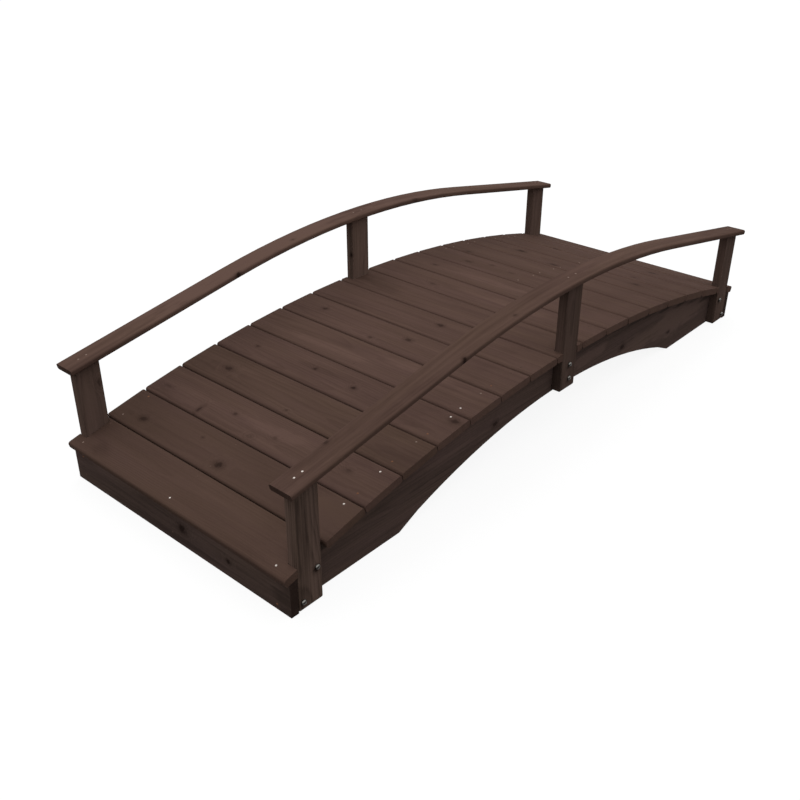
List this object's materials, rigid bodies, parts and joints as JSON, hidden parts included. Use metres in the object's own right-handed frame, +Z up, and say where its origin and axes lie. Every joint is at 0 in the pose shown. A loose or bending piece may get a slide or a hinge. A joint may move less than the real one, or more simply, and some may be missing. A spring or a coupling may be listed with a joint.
{
  "type": "moon bridge",
  "caption": "Arched timber garden footbridge: boarded deck on sawn stringers, flat posts and bent flat handrails each side.",
  "frame": {"origin": "middle of the bridge on plan, on the ground", "axes": "+X along the bridge, +Y across it, +Z up"},
  "size_m": [2.4016, 0.968, 0.5288],
  "materials": {
    "deck_timber": "dark brown penetrating stain on planed softwood boards",
    "rail_timber": "dark brown penetrating stain on planed softwood",
    "post_timber": "dark brown penetrating stain on sawn softwood",
    "frame_timber": "dark brown penetrating stain on sawn softwood"
  },
  "bodies": {
    "root": {"stringer_near": "frame_timber", "stringer_middle": "frame_timber", "stringer_far": "frame_timber", "fascia_left": "frame_timber", "fascia_right": "frame_timber", "post_near_left": "post_timber", "post_near_mid": "post_timber", "post_near_right": "post_timber", "post_far_left": "post_timber", "post_far_mid": "post_timber", "post_far_right": "post_timber", "deck_board_01": "deck_timber", "deck_board_02": "deck_timber", "deck_board_03": "deck_timber", "deck_board_04": "deck_timber", "deck_board_05": "deck_timber", "deck_board_06": "deck_timber", "deck_board_07": "deck_timber", "deck_board_08": "deck_timber", "deck_board_09": "deck_timber", "deck_board_10": "deck_timber", "deck_board_11": "deck_timber", "deck_board_12": "deck_timber", "deck_board_13": "deck_timber", "deck_board_14": "deck_timber", "deck_board_15": "deck_timber", "deck_board_16": "deck_timber", "deck_board_17": "deck_timber", "handrail_near": "rail_timber", "handrail_far": "rail_timber"}
  },
  "joints": []
}
